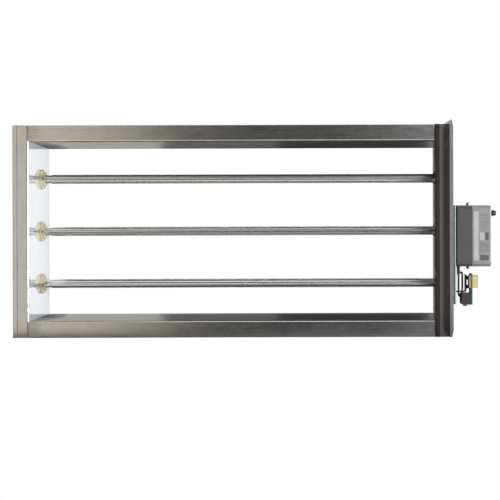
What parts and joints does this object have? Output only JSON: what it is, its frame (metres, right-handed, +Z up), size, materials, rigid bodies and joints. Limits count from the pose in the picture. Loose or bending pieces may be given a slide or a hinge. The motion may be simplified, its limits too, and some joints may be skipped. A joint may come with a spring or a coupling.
{
  "type": "motorized duct damper",
  "caption": "Slip-in duct damper: hemmed galvanised frame with linked turning blades, an end plate that screws to the duct, and a geared actuator with push button and terminal board.",
  "frame": {"origin": "centre of the mounting plate's screw pattern, on the plate face that meets the duct", "axes": "+X out of the duct along the blade shafts towards the actuator, +Y from the front of the frame to its back along the airflow, +Z up"},
  "size_m": [0.567, 0.1364, 0.2513],
  "materials": {
    "galvanised_sheet": "spangled hot-dip zinc",
    "blue_zinc_sheet": "blue passivated zinc",
    "cream_nylon": "moulded nylon",
    "bright_steel": "cold drawn",
    "zinc_fasteners": "bright zinc",
    "dark_grey_paint": "satin",
    "light_grey_paint": "satin",
    "bearing_bronze": "sintered",
    "gear_plastic": "moulded acetal",
    "board_green": "solder resist",
    "cream_plastic": "moulded",
    "tan_plastic": "moulded",
    "black_plastic": "moulded",
    "black_rubber": "soft",
    "dark_red_plastic": "moulded"
  },
  "bodies": {
    "frame": {"left_channel": "galvanised_sheet", "right_jamb": "galvanised_sheet", "top_channel": "galvanised_sheet", "bottom_channel": "galvanised_sheet", "mounting_plate": "galvanised_sheet", "actuator_bracket": "blue_zinc_sheet", "board_carrier": "blue_zinc_sheet", "upper_left_bushing": "cream_nylon", "middle_left_bushing": "cream_nylon", "lower_left_bushing": "cream_nylon", "upper_right_bushing": "cream_nylon", "middle_right_bushing": "cream_nylon", "lower_right_bushing": "cream_nylon", "idler_pin": "bright_steel", "gear_plate": "bright_steel", "motor_can": "bright_steel", "bracket_screws": "zinc_fasteners", "carrier_rivets": "zinc_fasteners", "board_screws": "zinc_fasteners", "gear_plate_screws": "zinc_fasteners", "cover_screws": "zinc_fasteners", "terminal_screws": "zinc_fasteners", "board_standoffs": "zinc_fasteners", "gearcase_base": "dark_grey_paint", "gearcase_cover": "light_grey_paint", "output_bearing": "bearing_bronze", "terminal_board": "board_green", "plug_header": "cream_plastic", "board_relay": "tan_plastic", "terminal_block": "black_plastic", "push_switch": "black_plastic", "front_motor_lead": "black_rubber", "rear_motor_lead": "black_rubber", "lead_grommets": "black_rubber"},
    "drive": {"middle_blade": "galvanised_sheet", "middle_shaft": "bright_steel", "middle_crank": "bright_steel", "sector_gear": "gear_plastic"},
    "upper": {"upper_blade": "galvanised_sheet", "upper_shaft": "bright_steel", "upper_crank": "bright_steel"},
    "lower": {"lower_blade": "galvanised_sheet", "lower_shaft": "bright_steel", "lower_crank": "bright_steel"},
    "link": {"link_bar": "bright_steel", "link_pins": "bright_steel"},
    "idler": {"idler_gear": "gear_plastic"},
    "pinion": {"motor_pinion": "gear_plastic"},
    "button": {"push_button": "dark_red_plastic", "button_clip": "bright_steel"}
  },
  "joints": [
    {"name": "blade_drive", "type": "hinge", "parent": "frame", "child": "drive", "pos_m": [0, 0.008, 0], "axis": [1, 0, 0], "range_deg": [0, 86]},
    {"name": "upper_turn", "type": "hinge", "parent": "frame", "child": "upper", "pos_m": [0, 0.008, 0.06373], "axis": [1, 0, 0], "range_deg": [0, 86]},
    {"name": "lower_turn", "type": "hinge", "parent": "frame", "child": "lower", "pos_m": [0, 0.008, -0.06373], "axis": [1, 0, 0], "range_deg": [0, 86]},
    {"name": "link_swing", "type": "hinge", "parent": "drive", "child": "link", "pos_m": [-0.0073, -0.00516, 0.01228], "axis": [1, 0, 0], "range_deg": [-86, 0]},
    {"name": "idler_spin", "type": "hinge", "parent": "frame", "child": "idler", "pos_m": [0.02, 0.008, -0.024], "axis": [1, 0, 0], "range_deg": [-344, 0]},
    {"name": "pinion_spin", "type": "hinge", "parent": "frame", "child": "pinion", "pos_m": [0.024, 0.0272, -0.024], "axis": [1, 0, 0], "range_deg": [0, 1032]},
    {"name": "button_press", "type": "slide", "parent": "frame", "child": "button", "axis": [-1, 0, 0], "range_m": [0, 0.0016], "stiffness_N_per_m": 600}
  ],
  "couplings": [
    {"joint": "upper_turn", "follows": "blade_drive", "ratio": 1},
    {"joint": "lower_turn", "follows": "blade_drive", "ratio": 1},
    {"joint": "link_swing", "follows": "blade_drive", "ratio": -1},
    {"joint": "idler_spin", "follows": "blade_drive", "ratio": -4},
    {"joint": "pinion_spin", "follows": "blade_drive", "ratio": 12}
  ]
}
